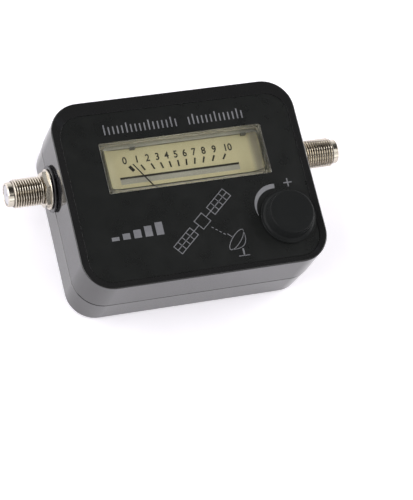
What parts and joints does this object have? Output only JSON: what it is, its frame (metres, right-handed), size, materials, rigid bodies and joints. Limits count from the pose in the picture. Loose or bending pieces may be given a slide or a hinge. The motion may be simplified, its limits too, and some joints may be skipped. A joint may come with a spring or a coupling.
{
  "type": "satellite signal meter",
  "caption": "Hand-held dish alignment meter: flat black case, needle dial under a clear window, skirted level knob and a threaded coaxial socket at each end.",
  "frame": {"origin": "centre of the back face, which the meter lies on", "axes": "+X along the two sockets towards the right end, +Y towards the top edge of the face, +Z out of the face"},
  "size_m": [0.1098, 0.0616, 0.0348],
  "materials": {
    "case_plastic": "polished",
    "label_film": "satin",
    "clear_window": "polished",
    "dial_card": "satin",
    "tray_plastic": "satin",
    "dark_plastic": "satin",
    "needle_paint": "matte",
    "knob_plastic": "satin",
    "nickel": "plated",
    "steel": "zinc plated",
    "brass": "bright",
    "copper_winding": "enamelled",
    "ferrite": "matte",
    "jewel": "polished",
    "rubber": "satin",
    "white_insulator": "satin",
    "green_board": "lacquered",
    "blue_sleeve": "gloss",
    "lamp_glass": "diffuse",
    "red_insulation": "gloss"
  },
  "bodies": {
    "case": {"front_shell": "case_plastic", "back_shell": "case_plastic", "case_screw_1": "steel", "case_screw_2": "steel", "case_screw_3": "steel", "case_screw_4": "steel", "face_label": "label_film", "window_cover": "clear_window", "dial_plate": "dial_card", "left_dial_clip": "dark_plastic", "right_dial_clip": "dark_plastic", "meter_base": "tray_plastic", "meter_screw_1": "steel", "meter_screw_2": "steel", "meter_screw_3": "steel", "meter_screw_4": "steel", "backlight_lamp_1": "lamp_glass", "backlight_lamp_2": "lamp_glass", "yoke_ring": "steel", "magnet_core": "ferrite", "front_core_spacer": "brass", "rear_core_spacer": "brass", "movement_bridge": "brass", "upper_jewel": "jewel", "lower_jewel": "jewel", "hairspring": "brass", "left_meter_terminal": "brass", "right_meter_terminal": "brass", "left_meter_wire": "red_insulation", "right_meter_wire": "red_insulation", "control_body": "steel", "control_nut": "nickel", "control_wire_1": "red_insulation", "control_wire_2": "red_insulation", "control_wire_3": "red_insulation", "left_socket": "nickel", "right_socket": "nickel", "left_seal_ring": "rubber", "right_seal_ring": "rubber", "left_insulator": "white_insulator", "right_insulator": "white_insulator", "left_contact": "brass", "right_contact": "brass", "left_earth_tag": "nickel", "right_earth_tag": "nickel", "left_lock_nut": "nickel", "right_lock_nut": "nickel", "circuit_board": "green_board", "board_screw_1": "steel", "board_screw_2": "steel", "amplifier_chip": "dark_plastic", "smoothing_capacitor": "blue_sleeve", "feed_choke": "ferrite"},
    "needle_movement": {"needle": "needle_paint", "balance_weight": "brass", "moving_coil": "copper_winding", "upper_staff": "steel", "lower_staff": "steel"},
    "level_knob": {"knob": "knob_plastic", "control_shaft": "nickel"}
  },
  "joints": [
    {"name": "needle_swing", "type": "hinge", "parent": "case", "child": "needle_movement", "pos_m": [-0.0007, -0.0137, 0.0258], "axis": [0, 0, -1], "range_deg": [0, 68], "stiffness_Nm_per_rad": 0.0002},
    {"name": "knob_turn", "type": "hinge", "parent": "case", "child": "level_knob", "pos_m": [0.0286, -0.0156, 0.03], "axis": [0, 0, -1], "range_deg": [-140, 140]}
  ]
}
